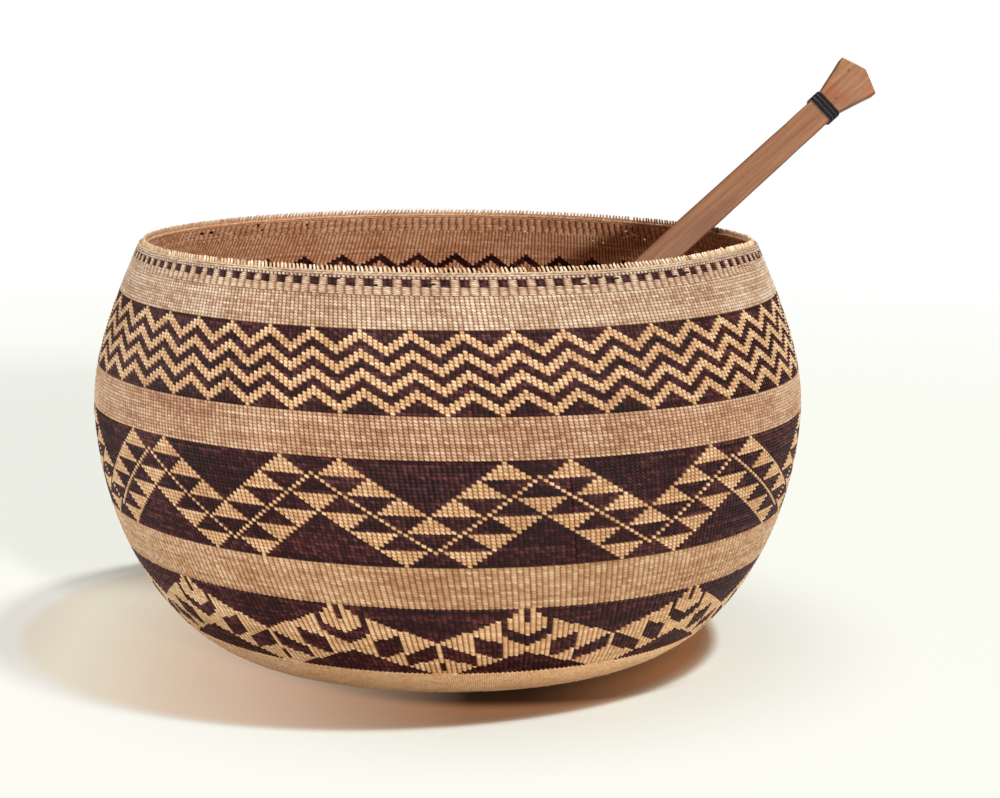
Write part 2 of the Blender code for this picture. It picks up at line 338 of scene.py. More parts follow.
PATTERN_LOOK = look(0.00095, 0.00085, 0.26, 10, rib_power=0.8, bead_power=0.65, row_light=0.26)
PLAIN_LOOK = look(0.00085, 0.00080, 0.20, 26, rib_power=0.8, bead_power=0.65, row_light=0.18)
LOW_LOOK = look(0.00110, 0.00048, 0.28, 12, rib_power=0.75, bead_power=0.6)
LOW_PLAIN_LOOK = look(0.00090, 0.00038, 0.30, 12, rib_power=0.9, uneven=0.00012)
BOTTOM_LOOK = look(0.00060, 0.00060, 0.0, 3, across=2, row_light=0.3, wander=0.35, uneven=0.00016)
CHECK_LOOK = look(0.00105, 0.00055, 0.3, 6, every=2, rib_power=0.9, bead_power=0.9, row_light=0.1)
BEAD_LOOK = look(0.00090, 0.00050, 0.0, rib_power=1.2)
INNER_LOOK = look(0.00060, 0.00030, 0.5, 20, across=2, down=2)
INNER_FINE_LOOK = look(0.00060, 0.00036, 0.5, 18, across=3)
INNER_CHECK_LOOK = look(0.00110, 0.00036, 0.3, 8, every=2, across=3)
BASE_LOOK = look(0.00045, 0.00040, 0.6, 12, crown=0.0)
BASE_CORD_LOOK = look(0.00080, 0.00060, 0.9, 8, crown=0.0)
BASE_INNER_LOOK = look(0.00045, 0.00030, 0.6, across=2, down=2)


# The outline


def unit(vectors):
    return vectors / np.linalg.norm(vectors, axis=-1, keepdims=True)


def lower_radius(height):
    rise = (BELLY_HEIGHT - height) / BELLY_HEIGHT
    bulge = (1.0 - rise ** LOWER_FULLNESS) ** (1.0 / LOWER_FULLNESS)
    return FOOT_RADIUS + (BELLY_RADIUS - FOOT_RADIUS) * bulge


def upper_radius(height):
    slope = (BELLY_RADIUS - RIM_RADIUS) / (math.hypot(RIM_HEIGHT - BELLY_HEIGHT, UPPER_BEND) - UPPER_BEND)
    return BELLY_RADIUS - slope * (np.hypot(height - BELLY_HEIGHT, UPPER_BEND) - UPPER_BEND)


def outline():
    """Arc length, radius and height along the outside, from the base's centre to above the rim."""
    low = BELLY_HEIGHT * (np.arange(OUTLINE_STEPS) / OUTLINE_STEPS) ** 2
    high = np.linspace(BELLY_HEIGHT, RIM_HEIGHT + OUTLINE_OVERRUN, OUTLINE_STEPS + 1)
    radii = np.concatenate(([0.0], lower_radius(low), upper_radius(high)))
    heights = np.concatenate(([0.0], low, high))
    steps = np.hypot(np.diff(radii), np.diff(heights))
    arcs = np.concatenate(([0.0], np.cumsum(steps))) - FOOT_RADIUS
    return arcs, radii, heights


ARCS, RADII, HEIGHTS = outline()
TANGENT_R = np.gradient(RADII, ARCS)
TANGENT_Z = np.gradient(HEIGHTS, ARCS)


def arc_at(height):
    start = np.searchsorted(ARCS, 0.0)
    return float(np.interp(height, HEIGHTS[start:], ARCS[start:]))


def band_spans():
    """Lower and upper arc length of each band, cord and the row of warp ends."""
    end = arc_at(RIM_HEIGHT) - 2.0 * CORD_HEIGHT
    course = end / sum(COURSES.values())
    spans = {}
    arc = 0.0
    for name, courses in COURSES.items():
        spans[name] = (arc, arc + courses * course)
        arc += courses * course
    spans["rim_cord_lower"] = (arc, arc + CORD_HEIGHT)
    spans["rim_cord_upper"] = (arc + CORD_HEIGHT, arc + 2.0 * CORD_HEIGHT)
    spans["warp_tips"] = (arc + 2.0 * CORD_HEIGHT, arc_at(RIM_HEIGHT + WARP_TIP_LENGTH))
    cord_end = CENTRE_RADIUS + BASE_CORD_WIDTH
    spans["base_outer_courses"] = (cord_end - FOOT_RADIUS, 0.0)
    spans["base_cord_course"] = (CENTRE_RADIUS - FOOT_RADIUS, cord_end - FOOT_RADIUS)
    spans["base_centre_courses"] = (KNOT_RADIUS - FOOT_RADIUS, CENTRE_RADIUS - FOOT_RADIUS)
    return spans


SPANS = band_spans()


def level_shift(theta, arc):
    """How far the real, hand-made levels lie above the even ones, at an angle in degrees."""
    levels = [0.0] + [SPANS[name][1] for name, mean, swing, turn in LEVEL_WAVES]
    shift = np.zeros(np.broadcast(theta, arc).shape)
    for index, (name, mean, swing, turn) in enumerate(LEVEL_WAVES):
        above = mean - swing * np.sin(np.radians(theta + turn))
        for node, centre, rise, width in LEVEL_RISES:
            if node == name:
                off = (theta - centre + 180.0) % 360.0 - 180.0
                above = above + rise * np.exp(-0.5 * (off / width) ** 2)
        shift = shift + np.interp(arc, levels, np.eye(len(levels))[index + 1]) * above
    return shift


def wall_points(theta, arc, out):
    """Points at an angle in degrees and an arc length, standing out from the outline."""
    placed = arc + level_shift(theta, arc)
    radius = np.interp(placed, ARCS, RADII) + out * np.interp(placed, ARCS, TANGENT_Z)
    height = np.interp(placed, ARCS, HEIGHTS) - out * np.interp(placed, ARCS, TANGENT_R)
    turn = np.radians(theta)
    return np.stack([radius * np.sin(turn), -radius * np.cos(turn), height], axis=-1)


def drift(arc):
    """How far the warps have leaned to the right, in degrees, going down from the rim."""
    places = (0.0, *SPANS["middle_pattern_band"], SPANS["check_band"][1])
    return np.interp(arc, places, WARP_LEAN)


# Patterns, one value for each stitch: 1 is pale weft and 0 is dark

# Warps in each repeat of the lower band, from the peak at the front right on round the basket
LOWER_REPEATS = (34, 31, 31, 31, 30, 30, 30, 30, 31, 30, 32, 32)
LOWER_COLUMNS = sum(LOWER_REPEATS)


def zigzag_pattern(rows, columns):
    row = np.arange(rows)[:, None]
    column = np.arange(columns) % 10
    fall = np.minimum(column, 10 - column)
    return (((row - fall) % 6 < 3) & (row >= fall) & (row - fall < 21)).astype(float)


def mark(pattern, row, first, last, repeat):
    """Turn the stitches first to last of a row pale, in every repeat."""
    for column in range(first, last + 1):
        pattern[row, column % repeat::repeat] = 1.0


def middle_pattern(rows, columns):
    repeat = 42
    pattern = np.zeros((rows, columns))
    for step in range(4):
        for row in range(5):
            upper = 5 * step + row
            for middle in (5 * step, 30 - 5 * step):
                mark(pattern, upper, middle - row, middle + row, repeat)
            for middle in (5 * step - 6, 36 - 5 * step):
                mark(pattern, upper + 10, middle - 4 + row, middle + 4 - row, repeat)
    for row in range(4, 26):
        mark(pattern, row, row - 10, row - 10, repeat)
        mark(pattern, row, 40 - row, 40 - row, repeat)
    return pattern


def lower_pattern(rows, columns):
    row = np.arange(rows)[:, None] + 0.5
    column = np.arange(columns)
    peaks = np.cumsum((0,) + LOWER_REPEATS)
    before = np.searchsorted(peaks, column, side="right") - 1
    width = np.array(LOWER_REPEATS)[before]
    off = np.minimum(column - peaks[before], width - (column - peaks[before]))
    half = width // 2
    slope = 10.0 / (half - 4.0)
    top = np.where(off < 2, 0.0, np.where(off < 4, 2.0 + 1.5 * (off - 2), 4.5 + slope * (off - 4)))
    pale = (row > top) & (row < 20 + 0.83 * off)
    dark = (off == 0) & (row < 6)
    dark |= (off == 4) & (row > 5) & (row < 12)
    dark |= (off < 4) & (row > 12 - off) & (row < 16.8 - off)
    dark |= (off >= 5) & (off <= 9) & (row > 15.3 - 0.9 * (off - 5)) & (row < 23.4 - 0.85 * (off - 5))
    dark |= (off >= 10) & (off < half) & (row > 20.8 - (off - 10)) & (row < 27 - 0.82 * (off - 10))
    dark |= (off == half) & (row > 24.5) & (row < 30.5) & (column % 2 == 0)
    return (pale & ~dark).astype(float)


def even_angle(columns, reference):
    """Angle of each column, when they are evenly spread."""
    return lambda u: reference + (u - 0.5) * 360.0 / columns


def warped_angle(columns, reference, swing, turn):
    """The same with columns wider on one side, as swing * (1 - cos) adds to the angle."""
    start = reference - swing * (1.0 - math.cos(math.radians(reference + turn)))

    def angle(u):
        even = start + (u - 0.5) * 360.0 / columns
        return even + swing * (1.0 - np.cos(np.radians(even + turn)))

    return angle


def zigzag_angle(u):
    """Peaks crowd a little on the left and at the back, where the repeats were made narrower."""
    even = (ZIGZAG_TURN + (u - 0.5) * 360.0 / ZIGZAG_COLUMNS + 180.0) % 360.0 - 180.0
    left = (even > -100.0) & (even < -10.0)
    shift = np.where(left, 0.9 * (1.0 - np.cos(np.radians(4.0 * (even + 10.0)))), 0.0)
    turned = even % 360.0
    back = (turned > 130.0) & (turned < 255.0)
    return even + shift - np.where(back, 1.75 * (1.0 - np.cos(np.radians(2.88 * (turned - 130.0)))), 0.0)


WARP_ANGLE = even_angle(WARP_COUNT, WARP_TURN)


# Meshes


def flat(values):
    return values.reshape(-1).astype(np.float32)


def at_corners(grid):
    """Values on a grid of points, repeated at the corners of its quads."""
    return np.stack((grid[:-1, :-1], grid[1:, :-1], grid[1:, 1:], grid[:-1, 1:]), axis=2)


def corner_values(u, v):
    return at_corners(np.stack(np.broadcast_arrays(u, v), axis=-1))


def folded_uv(columns, rows, length, height):
    """Map of a long strip onto the unit square, cut into equal lengths that lie one above the other."""
    strips = max(1, round(math.sqrt(length / height)))
    per_strip = math.ceil(columns / strips)
    strip, place = np.divmod(np.arange(columns), per_strip)
    uv = np.empty((rows, columns, 4, 2))
    for corner, (right, down) in enumerate(((0, 0), (0, 1), (1, 1), (1, 0))):
        up = 1.0 - (np.arange(rows)[:, None] + down) / rows
        uv[:, :, corner, 0] = MAP_MARGIN + (1.0 - 2.0 * MAP_MARGIN) * (place + right) / per_strip
        uv[:, :, corner, 1] = (strip + MAP_MARGIN + (1.0 - 2.0 * MAP_MARGIN) * up) / strips
    return uv


def piece_from(name, mesh, uv, face_values, point_values, material):
    """An object from a mesh, with its maps, its material and values on its faces and points."""
    for domain, named in (("FACE", face_values), ("POINT", point_values)):
        for key, values in named.items():
            kind, part = ("FLOAT_VECTOR", "vector") if values.ndim > 2 else ("FLOAT", "value")
            mesh.attributes.new(key, kind, domain).data.foreach_set(part, flat(values))
    for key, values in uv.items():
        mesh.uv_layers.new(name=key).data.foreach_set("uv", flat(values))
    mesh.shade_smooth()
    mesh.materials.append(bpy.data.materials[material])
    piece = bpy.data.objects.new(name, mesh)
    bpy.context.scene.collection.objects.link(piece)
    return piece


def hand_over(piece, node, body="basket"):
    """Let a piece take the place of a CAD node on its body."""
    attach(piece, body)
    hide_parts(node)


def sheet(name, node, points, uv, face_values, point_values, material, flip=False, body="basket"):
    """A sheet of quads over a grid of points, in place of a CAD node."""
    rows, columns = points.shape[:2]
    corners = at_corners(np.arange(rows * columns).reshape(rows, columns))
    if flip:
        corners = corners[:, :, ::-1]
        uv = {key: values[:, :, ::-1] for key, values in uv.items()}
    loops = corners.reshape(-1).astype(np.int32)
    mesh = bpy.data.meshes.new(name)
    mesh.vertices.add(rows * columns)
    mesh.vertices.foreach_set("co", flat(points))
    mesh.loops.add(len(loops))
    mesh.loops.foreach_set("vertex_index", loops)
    mesh.polygons.add(len(loops) // 4)
    mesh.polygons.foreach_set("loop_start", np.arange(0, len(loops), 4, dtype=np.int32))
    mesh.update(calc_edges=True)
    hand_over(piece_from(name, mesh, uv, face_values, point_values, material), node, body)


def rods(name, centres, sides, ups, radii, tilt, tone, around=8):
    """Many short rods in one mesh, each with its path, its two crossways axes and a slanting cut end."""
    count, rings = centres.shape[:2]
    turn = 2.0 * math.pi * np.arange(around) / around
    ring = np.cos(turn)[:, None] * sides[:, :, None, :] + np.sin(turn)[:, None] * ups[:, :, None, :]
    points = centres[:, :, None, :] + ring * radii[:, :, None, None]
    along = unit(centres[:, -1] - centres[:, -2])
    lift = tilt[:, None] * np.cos(turn[None, :] - 7.0 * tone[:, None]) * radii[:, -1:]
    points[:, -1] += lift[:, :, None] * along[:, None, :]
    tips = centres[:, -1] + along * radii[:, -1:] * 0.15
    size = rings * around + 1
    vertices = np.concatenate((points.reshape(count, rings * around, 3), tips[:, None, :]), axis=1)
    # Crown rises along each rod; the material paints shade where it is low
    crowns = np.concatenate((np.repeat(np.linspace(0.3, 0.9, rings), around), [1.0]))
    # Faces and map of one rod: quads along it, then a fan over its cut end
    x = ROD_MAP_EDGE + ROD_MAP_WIDTH * np.arange(around + 1) / around
    y = ROD_MAP_EDGE + ROD_MAP_HEIGHT * np.arange(rings) / (rings - 1)
    end = [np.add(ROD_MAP_END, ROD_MAP_END_RADIUS * np.array((math.cos(a), math.sin(a)))) for a in turn]
    faces = []
    spots = []
    for level in range(rings):
        for side in range(around):
            after = (side + 1) % around
            here = level * around
            above = here + around
            if level < rings - 1:
                faces.append((here + side, here + after, above + after, above + side))
                spots += [(x[side], y[level]), (x[side + 1], y[level])]
                spots += [(x[side + 1], y[level + 1]), (x[side], y[level + 1])]
            else:
                faces.append((here + side, here + after, size - 1))
                spots += [end[side], end[after], ROD_MAP_END]
    cells = math.ceil(math.sqrt(count))
    rod = np.arange(count)
    corner = np.stack((rod % cells, rod // cells), axis=-1)
    mesh = bpy.data.meshes.new(name)
    every_face = [tuple(start * size + index for index in face) for start in range(count) for face in faces]
    mesh.from_pydata(vertices.reshape(-1, 3).tolist(), [], every_face)
    cut = [len(face) == 3 for face in faces]
    return piece_from(
        name,
        mesh,
        {"OFBake": (np.array(spots)[None, :, :] + corner[:, None, :]) / cells},
        {"tone": np.repeat(tone, len(faces)), "cut": np.tile(cut, count)},
        {"crown": np.tile(crowns, count)},
        "peeled_shoot",
    )


def strand_values(rng, rows, columns, mean_length):
    """A value for each stitch that stays the same along a strand of weft, until a new one is let in."""
    fresh = rng.random((rows, columns)) < 1.0 / mean_length
    fresh[:, 0] = True
    values = rng.random((rows, columns))
    start = np.maximum.accumulate(np.where(fresh, np.arange(columns), 0), axis=1)
    return np.take_along_axis(values, start, axis=1)


def weave(name, node, columns, rows, angle, look, material, pattern=None, part=(0, 1), side=1, seed=1,
          span=None):
    """A stretch of twined weft round the wall: rows of slanting stitches over upright warps."""
    rng = np.random.default_rng(seed)
    across, down, every = look["across"], look["down"], look["every"]
    light = np.ones((rows, columns)) if pattern is None else pattern(rows, columns)
    strand = strand_values(rng, rows, columns, look["strand"])
    tone = STRAND_SHARE * strand + (1.0 - STRAND_SHARE) * rng.random((rows, columns))
    tone = tone + ROW_TONE * (rng.random((rows, 1)) - 0.5)
    height = rng.normal(0.0, look["uneven"], (rows, columns))
    wander = rng.normal(0.0, look["wander"], (rows + 1, columns + 1))
    first = columns * part[0] // part[1]
    last = columns * (part[0] + 1) // part[1]
    u = first + np.arange((last - first) * across + 1) / across
    v = np.arange(rows * down + 1) / down
    u_grid, v_grid = np.meshgrid(u, v)
    column = np.minimum(np.floor(u_grid + TINY).astype(int), columns - 1)
    row = np.minimum(np.floor(v_grid + TINY).astype(int), rows - 1)
    s = u_grid / every - np.floor(u_grid / every + TINY)
    t = v_grid - np.floor(v_grid + TINY)
    rib = np.sin(np.pi * np.clip(s, 0.0, 1.0)) ** look["rib_power"]
    bead = np.sin(np.pi * np.clip(t, 0.0, 1.0)) ** look["bead_power"]
    # Crown: how far a point stands out; the weft material paints shade in the gaps where it is low
    crown = rib * (look["row_light"] + (1.0 - look["row_light"]) * bead)
    inner = (v_grid > TINY) & (v_grid < rows - TINY)
    slanted = v_grid - 0.5 * look["slant"] * np.sin(2.0 * np.pi * s) * inner * side
    slanted = slanted + np.where(inner, wander[row, column], 0.0) * 0.5
    sunk = look["rib_depth"] * (1.0 - rib) + look["bead_depth"] * (1.0 - bead) * (0.4 + 0.6 * rib)
    out = look["crown"] - sunk + height[row, column] * rib
    low, high = span or SPANS[node]
    arc = high - (high - low) * np.clip(slanted, 0.0, rows) / rows
    theta = angle(u) + (drift(arc) - drift(high))
    # The first and last rows of points come twice, once more turned in as a hem
    hemmed = np.concatenate(([0], np.arange(len(v)), [len(v) - 1]))
    stand = (out if side > 0 else -WALL - out)[hemmed]
    stand[[0, -1]] -= side * HEM
    crown = crown[hemmed]
    crown[[0, -1]] = 0.0
    face_row = np.concatenate(([0], np.arange(rows * down) // down, [rows - 1]))
    face_column = first + np.arange((last - first) * across) // across
    picked = np.ix_(face_row, face_column)
    length = (last - first) * 2.0 * math.pi * MEAN_RADIUS / columns
    fibre_v = np.concatenate(([0.0], v, [rows])) * (high - low) / rows
    sheet(
        name,
        node,
        wall_points(theta[hemmed], arc[hemmed], stand),
        {
            "OFBake": folded_uv(len(face_column), len(face_row), length, high - low),
            "fibre": corner_values(u * 360.0 / columns * FIBRE_PER_DEGREE, fibre_v[:, None]),
        },
        {"light": light[picked], "tone": np.clip(tone[picked], 0.0, 1.0)},
        {"crown": crown},
        material,
        flip=side < 0,
    )


# Materials


class Shading:
    """The nodes of a material or of the world, each made and wired in one call."""

    def __init__(self, owner):
        owner.use_nodes = True
        self.owner = owner
        self.nodes = owner.node_tree.nodes
        self.links = owner.node_tree.links

    def feed(self, socket, value):
        if isinstance(value, bpy.types.NodeSocket):
            self.links.new(value, socket)
        elif isinstance(value, tuple) and len(socket.default_value) > len(value):
            socket.default_value = (*value, 1.0)
        else:
            socket.default_value = value

    def add(self, kind, inputs, output=0, **settings):
        node = self.nodes.new("ShaderNode" + kind)
        for key, value in settings.items():
            setattr(node, key, value)
        for key, value in inputs.items():
            self.feed(node.inputs[key], value)
        return node.outputs[output]

    def ramp(self, value, colours, places=None):
        """Colours, or plain numbers for greys, at even steps or at the given places."""
        node = self.nodes.new("ShaderNodeValToRGB")
        places = places or [index / (len(colours) - 1) for index in range(len(colours))]
        elements = node.color_ramp.elements
        while len(elements) < len(colours):
            elements.new(0.5)
        for element, place, colour in zip(elements, places, colours):
            element.position = place
            element.color = (*(colour if isinstance(colour, tuple) else (colour,) * 3), 1.0)
        self.links.new(value, node.inputs["Fac"])
        return node.outputs["Color"]

    def mix(self, factor, first, second, blend="MIX"):
        return self.add("Mix", {0: factor, 6: first, 7: second}, 2, data_type="RGBA", blend_type=blend)

    def multiply(self, first, second, factor=1.0):
        return self.mix(factor, first, second, "MULTIPLY")

    def math(self, operation, first, second, third=0.0, clamp=False):
        inputs = {0: first, 1: second, 2: third}
        return self.add("Math", inputs, operation=operation, use_clamp=clamp)

    def spread(self, value, limits, ends=(0.0, 1.0), kind="SMOOTHSTEP"):
        """A value between the limits turned into one between the ends."""
        names = ("From Min", "From Max", "To Min", "To Max")
        inputs = {"Value": value, **dict(zip(names, (*limits, *ends)))}
        return self.add("MapRange", inputs, "Result", interpolation_type=kind)

    def distance(self, place, point):
        return self.add("VectorMath", {0: place, 1: point}, "Value", operation="DISTANCE")

    def attribute(self, name, output="Fac"):
        return self.add("Attribute", {}, output, attribute_name=name)

    def place(self):
        return self.add("TexCoord", {}, "Object")

    def noise(self, vector, scale, detail, stretch=None):
        if stretch:
            vector = self.add("Mapping", {"Vector": vector, "Scale": stretch})
        return self.add("TexNoise", {"Vector": vector, "Scale": scale, "Detail": detail}, "Fac")

    def mottled(self, noise, amount):
        """The tone of each stitch or rod, made uneven by a noise."""
        uneven = self.math("MULTIPLY_ADD", noise, amount, -amount / 2.0)
        return self.math("ADD", self.attribute("tone"), uneven, clamp=True)

    def rays(self, *names):
        """1 for a ray of any of the named kinds."""
        total = 0.0
        for name in names:
            total = self.math("MAXIMUM", total, self.add("LightPath", {}, name))
        return total

    def finish(self, kind, shader):
        self.feed(self.nodes.new("ShaderNodeOutput" + kind).inputs["Surface"], shader)

    def surface(self, colour, height, roughness, specular, strength, distance):
        """Wire the shader, with a bump from a height."""
        shader = self.nodes["Principled BSDF"].inputs
        self.feed(shader["Base Color"], colour)
        self.feed(shader["Roughness"], roughness)
        self.feed(shader["Specular IOR Level"], specular)
        bump = self.add("Bump", {"Strength": strength, "Distance": distance, "Height": height})
        self.feed(shader["Normal"], bump)


def weft_material(name, pale, gap_shade=PAINTED_GAP_SHADE, depth=PAINTED_SHADE_REACH):
    """Split weft: each stitch its own tone, fibres along it, and painted shade, a deeper brown, between the
    stitches.
    """
    art = Shading(bpy.data.materials.new(name))
    fibres = art.noise(art.add("UVMap", {}, uv_map="fibre"), 1.0, 3.0, (900.0, 5200.0, 1.0))
    tone = art.mottled(art.noise(art.place(), 26.0, 4.0), 0.9)
    colour = art.mix(art.attribute("light"), art.ramp(tone, DARK_WEFT), art.ramp(tone, pale))
    colour = art.multiply(colour, art.ramp(fibres, WEFT_STREAKS, (0.3, 0.52, 0.72)))
    # Painted shade: where the crown is low, between the stitches, the colour is multiplied by the gap shade
    standing = art.ramp(art.attribute("crown"), (0.0, 1.0), (0.12, depth))
    colour = art.mix(standing, art.multiply(colour, gap_shade), colour)
    art.surface(colour, fibres, roughness=0.42, specular=0.18, strength=0.35, distance=0.0002)


def rod_material():
    """Peeled shoots and splints, paler where they are cut across, with painted shade low on each."""
    art = Shading(bpy.data.materials.new("peeled_shoot"))
    mottle = art.noise(art.place(), 900.0, 3.0)
    skin = art.ramp(art.mottled(mottle, 0.8), TIP_FIBRE)
    heart = art.mix(art.attribute("tone"), art.multiply(skin, TIP_HEART), TIP_HEART)
    colour = art.mix(art.attribute("cut"), skin, heart)
    # Painted shade: the low part of each rod is multiplied by the tip shade colour
    standing = art.ramp(art.attribute("crown"), (0.0, 1.0), (0.30, 0.70))
    colour = art.mix(standing, art.multiply(colour, TIP_SHADE), colour)
    art.surface(colour, mottle, roughness=0.6, specular=0.5, strength=0.3, distance=0.0002)


def black_material():
    """Black band, satin on its strands and dull between them, with a painted pale highlight along its edges.
    """
    art = Shading(bpy.data.materials.new("black_band"))
    mottle = art.noise(art.place(), 1400.0, 3.0)
    crown = art.attribute("crown")
    # Painted highlight: where the crown is low, at the band's edges, the colour is pale
    off_highlight = art.ramp(crown, (0.0, 1.0), (0.05, 0.30))
    colour = art.mix(off_highlight, RING_HIGHLIGHT, art.ramp(mottle, BLACK_FIBRE, (0.35, 0.55, 0.75)))
    dull = art.ramp(crown, (0.75, 0.50), (0.2, 0.9))
    art.surface(colour, mottle, roughness=dull, specular=0.14, strength=0.4, distance=0.0001)


def wood_material():
    """Plain carved wood: long grain, darker growth lines, small knots and a handled, smoothed surface."""
    art = Shading(bpy.data.materials.new("carved_wood"))
    vector = art.attribute("grain", "Vector")
    grain = art.noise(vector, 1.0, 6.0, (14.0, 420.0, 420.0))
    broad = art.noise(vector, 1.0, 3.0, (7.0, 60.0, 60.0))
    pores = art.noise(vector, 1.0, 2.0, (110.0, 2600.0, 2600.0))
    colour = art.ramp(grain, WOOD, (0.30, 0.52, 0.74))
    colour = art.multiply(colour, art.ramp(broad, WOOD_BROAD, (0.32, 0.5, 0.7)))
    colour = art.multiply(colour, art.ramp(pores, WOOD_PORES, (0.34, 0.46)), 0.55)
    along = art.add("SeparateXYZ", {"Vector": vector}, "X")
    near = art.math("MULTIPLY_ADD", along, 1.0 / POMMEL_LENGTH, -NECK_END / POMMEL_LENGTH + 0.1)
    colour = art.mix(art.ramp(near, (0.0, 1.0)), colour, art.multiply(colour, POMMEL_PALER))
    # Darker along the paddle's narrow sides
    edge = art.ramp(art.attribute("edge"), (0.0, 1.0), (0.25, 0.80))
    colour = art.mix(edge, colour, art.multiply(colour, WOOD_EDGE))
    level = art.add("VectorMath", {0: vector, 1: (1.0, 1.0, 0.0)}, "Vector", operation="MULTIPLY")
    blush = art.multiply(colour, WOOD_BLUSH)
    for spots, strengths, stain in (
        (WOOD_BLUSHES, (1.0, 0.6, 0.0), blush),
        (WOOD_KNOTS, (1.0, 0.25, 0.0), WOOD_KNOT),
    ):
        for back, across, size in spots:
            away = art.distance(level, (PADDLE_LENGTH - back, across, 0.0))
            strength = art.ramp(art.math("DIVIDE", away, size), strengths, (0.35, 0.62, 1.0))
            colour = art.mix(strength, colour, stain)
    art.surface(colour, grain, roughness=0.48, specular=0.4, strength=0.22, distance=0.0003)


def build_materials():
    for name, values in WEFTS.items():
        weft_material(name, *values)
    rod_material()
    black_material()
    wood_material()


# Bands


def check_pattern(rows, columns):
    """Blocks two warps wide, dark and pale in turn, the dark ones ragged on their right."""
    rng = np.random.default_rng(77)
    column = np.arange(columns)[None, :] % 4
    dark = np.repeat(column < 2, rows, axis=0)
    dark |= (column == 2) & (rng.random((rows, columns)) < RAGGED_CHECKS)
    return (~dark).astype(float)


def turned_inside(pattern):
    """The inside shows the same figures with pale and dark changed over."""
    return lambda rows, columns: 1.0 - pattern(rows, columns)


def inner_specks(rows, columns):
    """Only a stray stitch here and there is dark."""
    return (np.random.default_rng(78).random((rows, columns)) > DARK_SPECKS).astype(float)


def weave_bands(jobs, ending, side, first_seed):
    """Weave each band, some in several parts: node, columns, rows, angle, look, material, pattern, parts."""
    for seed, (node, columns, rows, angle, look, material, pattern, parts) in enumerate(jobs, first_seed):
        for part in range(parts):
            name = node + ending if parts == 1 else "%s%s_%d" % (node, ending, part + 1)
            weave(name, node, columns, rows, angle, look, material, pattern, (part, parts), side, seed)


def build_bands():
    bottom = (2 * LOWER_COLUMNS, 30, even_angle(2 * LOWER_COLUMNS, LOWER_TURN))
    lower = (LOWER_COLUMNS, 32, even_angle(LOWER_COLUMNS, LOWER_TURN))
    third = (LOWER_COLUMNS, 16, lower[2])
    middle = (MIDDLE_COLUMNS, 30, warped_angle(MIDDLE_COLUMNS, *MIDDLE_WARP))
    second = (MIDDLE_COLUMNS, 13, middle[2])
    zigzag = (ZIGZAG_COLUMNS, 26, zigzag_angle)
    upper = (ZIGZAG_COLUMNS, 11, zigzag_angle)
    weave_bands((
        ("bottom_plain_band", *bottom, BOTTOM_LOOK, "bottom_weft", None, 2),
        ("lower_pattern_band", *lower, LOW_LOOK, "low_pattern_weft", lower_pattern, 2),
        ("third_plain_band", *third, LOW_PLAIN_LOOK, "low_plain_weft", None, 1),
        ("middle_pattern_band", *middle, PATTERN_LOOK, "pattern_weft", middle_pattern, 3),
        ("second_plain_band", *second, PLAIN_LOOK, "second_weft", None, 1),
        ("zigzag_band", *zigzag, PATTERN_LOOK, "pattern_weft", zigzag_pattern, 2),
        ("upper_plain_band", *upper, PLAIN_LOOK, "plain_weft", None, 1),
        ("check_lower_course", WARP_COUNT, 5, WARP_ANGLE, CHECK_LOOK, "check_weft", None, 1),
    ), "_weave", 1, 0)
    low, high = SPANS["check_band"]
    bead_low = high - CHECK_BEAD
    weave("check_blocks", "check_band", WARP_COUNT, 4, WARP_ANGLE, CHECK_LOOK, "check_weft", check_pattern,
          seed=21, span=(low, bead_low))
    weave("check_bead_row", "check_band", WARP_COUNT, 1, WARP_ANGLE, BEAD_LOOK, "check_bead_weft",
          seed=22, span=(bead_low, high))
    weave_bands((
        ("bottom_plain_band", LOWER_COLUMNS, 30, lower[2], INNER_LOOK, "inner_weft", None, 1),
        ("lower_pattern_band", *lower, INNER_LOOK, "inner_weft", turned_inside(lower_pattern), 1),
        ("third_plain_band", *third, INNER_LOOK, "inner_weft", None, 1),
        ("middle_pattern_band", *middle, INNER_LOOK, "inner_weft", turned_inside(middle_pattern), 1),
        ("second_plain_band", *second, INNER_LOOK, "inner_weft", None, 1),
        ("zigzag_band", *zigzag, INNER_FINE_LOOK, "inner_weft", turned_inside(zigzag_pattern), 2),
        ("upper_plain_band", *upper, INNER_FINE_LOOK, "inner_weft", None, 1),
        ("check_lower_course", WARP_COUNT, 3, WARP_ANGLE, INNER_CHECK_LOOK, "inner_weft", None, 1),
        ("check_band", WARP_COUNT, 3, WARP_ANGLE, INNER_CHECK_LOOK, "inner_weft", inner_specks, 1),
    ), "_inside", -1, 40)


# Rim


def wall_frame(theta, arc, out):
    """A point of the wall with the directions round it and out of it."""
    point = wall_points(theta, arc, out)
    up = unit(wall_points(theta, arc + 0.0005, out) - point)
    turn = np.radians(theta)
    side = np.stack(np.broadcast_arrays(np.cos(turn), np.sin(turn), np.zeros_like(turn)), axis=-1)
    return point, side, np.cross(side, up)


def unpatterned(tone):
    return {"light": np.ones(tone.shape), "tone": tone}


